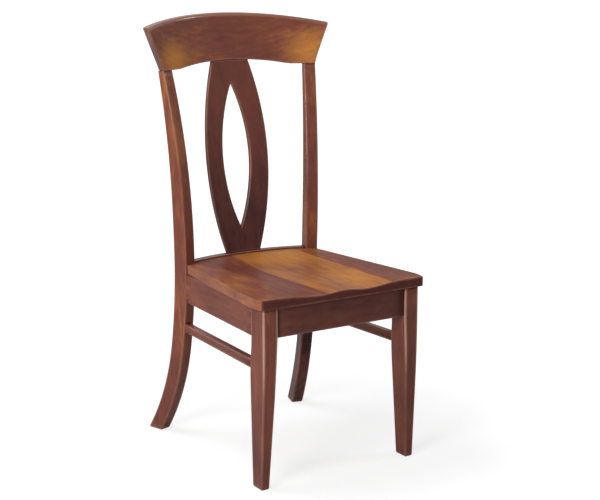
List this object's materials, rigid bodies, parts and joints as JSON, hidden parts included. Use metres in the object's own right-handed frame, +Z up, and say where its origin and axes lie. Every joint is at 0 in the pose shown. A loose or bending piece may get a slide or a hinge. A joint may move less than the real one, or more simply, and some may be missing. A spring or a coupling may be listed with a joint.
{
  "type": "splat-back dining side chair",
  "caption": "Wooden dining side chair with a scooped board seat, a bowed pierced splat, a flared crest rail and swept back legs.",
  "frame": {"origin": "on the floor, under the middle of the chair's outline", "axes": "+X to the right as seen from the front, and the mirror plane is X = 0; +Y from the seat's front to the back; +Z up"},
  "size_m": [0.52, 0.5804, 1.065],
  "materials": {
    "frame_wood": "dark reddish-brown stained hardwood, semi-gloss lacquer",
    "seat_wood": "golden-brown stained hardwood, semi-gloss lacquer",
    "block_wood": "plain unfinished hardwood",
    "screw_steel": "zinc-plated steel"
  },
  "bodies": {
    "root": {"crest_rail": "frame_wood", "back_splat": "frame_wood", "rear_rail": "frame_wood", "front_apron": "frame_wood", "front_leg_left": "frame_wood", "front_leg_right": "frame_wood", "rear_post_left": "frame_wood", "rear_post_right": "frame_wood", "side_apron_left": "frame_wood", "side_apron_right": "frame_wood", "side_stretcher_left": "frame_wood", "side_stretcher_right": "frame_wood", "seat_board_1": "seat_wood", "seat_board_2": "seat_wood", "seat_board_3": "seat_wood", "seat_board_4": "seat_wood", "seat_board_5": "seat_wood", "front_corner_block_left": "block_wood", "front_corner_block_right": "block_wood", "rear_corner_block_left": "block_wood", "rear_corner_block_right": "block_wood", "seat_screws": "screw_steel"}
  },
  "joints": []
}
